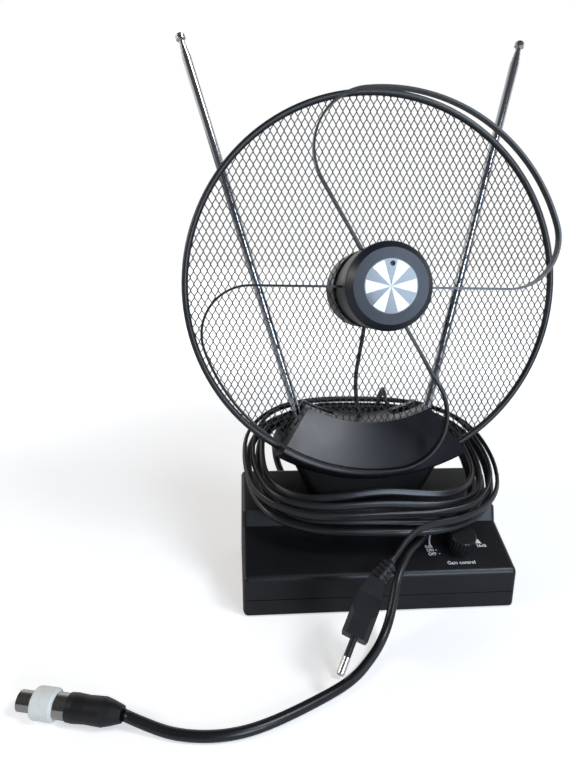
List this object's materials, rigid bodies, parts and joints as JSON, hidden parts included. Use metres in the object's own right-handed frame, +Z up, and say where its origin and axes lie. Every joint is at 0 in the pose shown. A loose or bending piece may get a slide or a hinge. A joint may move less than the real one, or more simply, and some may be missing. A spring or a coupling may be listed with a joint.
{
  "type": "set-top television aerial",
  "caption": "Amplified indoor television aerial: round grille with two strip loops on a sloped base, telescopic rods, gain knob and wound leads.",
  "frame": {"origin": "on the surface it stands on, under the middle of the base", "axes": "+Z up, +X to the right seen from the front, +Y towards the back"},
  "size_m": [0.3149, 0.2236, 0.3539],
  "materials": {
    "black_plastic": "moulded, light polish",
    "gloss_black": "high polish",
    "sector_disc": "silver and black sectors",
    "grille_black": "stove enamel",
    "loop_black": "gloss coat",
    "chrome_rod": "plated",
    "cable_black": "cable sheath",
    "moulded_black": "fine matte",
    "white_collar": "plain",
    "plated_metal": "tinned",
    "steel": "zinc plated",
    "board_green": "laminate",
    "capacitor_sleeve": "sleeved",
    "foot_rubber": "soft"
  },
  "bodies": {
    "aerial": {"amplifier_shield": "plated_metal", "balun_board": "board_green", "base_cover": "black_plastic", "base_pan": "black_plastic", "base_screws": "steel", "circuit_board": "board_green", "coax_cord": "cable_black", "coax_gland": "moulded_black", "coax_lead_in": "cable_black", "coax_plug_boot": "moulded_black", "coax_plug_collar": "white_collar", "coax_plug_insulator": "white_collar", "coax_plug_pin": "plated_metal", "coax_plug_shell": "plated_metal", "coax_winding": "cable_black", "dish_mesh": "grille_black", "dish_rim": "grille_black", "down_lead": "cable_black", "filter_capacitors": "capacitor_sleeve", "gain_pot": "steel", "head_front": "black_plastic", "head_rear": "black_plastic", "head_screws": "steel", "hub_body": "black_plastic", "hub_cap": "gloss_black", "hub_disc": "sector_disc", "hub_rear": "black_plastic", "hub_screw": "steel", "loop_lower": "loop_black", "loop_terminals": "plated_metal", "loop_upper": "loop_black", "mains_cord": "cable_black", "mains_gland": "moulded_black", "mains_lead_in": "cable_black", "mains_pin_sleeves": "moulded_black", "mains_pins": "plated_metal", "mains_plug_body": "moulded_black", "mains_strain_relief": "moulded_black", "mains_transformer": "steel", "mains_winding": "cable_black", "neck": "black_plastic", "pivot_pin_left": "steel", "pivot_pin_right": "steel", "rubber_feet": "foot_rubber"},
    "gain_knob": {"gain_knob": "black_plastic", "gain_shaft": "steel"},
    "rod_left": {"rod_left_knuckle": "chrome_rod", "rod_left_section_1": "chrome_rod"},
    "rod_left_2": {"rod_left_section_2": "chrome_rod"},
    "rod_left_3": {"rod_left_section_3": "chrome_rod"},
    "rod_left_4": {"rod_left_section_4": "chrome_rod", "rod_left_tip": "chrome_rod"},
    "rod_right": {"rod_right_knuckle": "chrome_rod", "rod_right_section_1": "chrome_rod"},
    "rod_right_2": {"rod_right_section_2": "chrome_rod"},
    "rod_right_3": {"rod_right_section_3": "chrome_rod"},
    "rod_right_4": {"rod_right_section_4": "chrome_rod", "rod_right_tip": "chrome_rod"}
  },
  "joints": [
    {"name": "gain_turn", "type": "hinge", "parent": "aerial", "child": "gain_knob", "pos_m": [0.053, -0.0258, 0.0332], "axis": [0, -0.4128, 0.9108], "range_deg": [-270, 0]},
    {"name": "rod_left_splay", "type": "hinge", "parent": "aerial", "child": "rod_left", "pos_m": [-0.0445, 0.03483, 0.09896], "axis": [0, -0.995, 0.0997], "range_deg": [-20, 42]},
    {"name": "rod_left_draw_1", "type": "slide", "parent": "rod_left", "child": "rod_left_2", "axis": [-0.304, 0.0949, 0.9479], "range_m": [0, 0.215]},
    {"name": "rod_left_draw_2", "type": "slide", "parent": "rod_left_2", "child": "rod_left_3", "axis": [-0.304, 0.0949, 0.9479], "range_m": [0, 0.215]},
    {"name": "rod_left_draw_3", "type": "slide", "parent": "rod_left_3", "child": "rod_left_4", "axis": [-0.304, 0.0949, 0.9479], "range_m": [0, 0.215]},
    {"name": "rod_right_splay", "type": "hinge", "parent": "aerial", "child": "rod_right", "pos_m": [0.0445, 0.03483, 0.09896], "axis": [0, -0.995, 0.0997], "range_deg": [-47, 15]},
    {"name": "rod_right_draw_1", "type": "slide", "parent": "rod_right", "child": "rod_right_2", "axis": [0.2113, 0.0974, 0.9725], "range_m": [0, 0.215]},
    {"name": "rod_right_draw_2", "type": "slide", "parent": "rod_right_2", "child": "rod_right_3", "axis": [0.2113, 0.0974, 0.9725], "range_m": [0, 0.215]},
    {"name": "rod_right_draw_3", "type": "slide", "parent": "rod_right_3", "child": "rod_right_4", "axis": [0.2113, 0.0974, 0.9725], "range_m": [0, 0.215]}
  ]
}
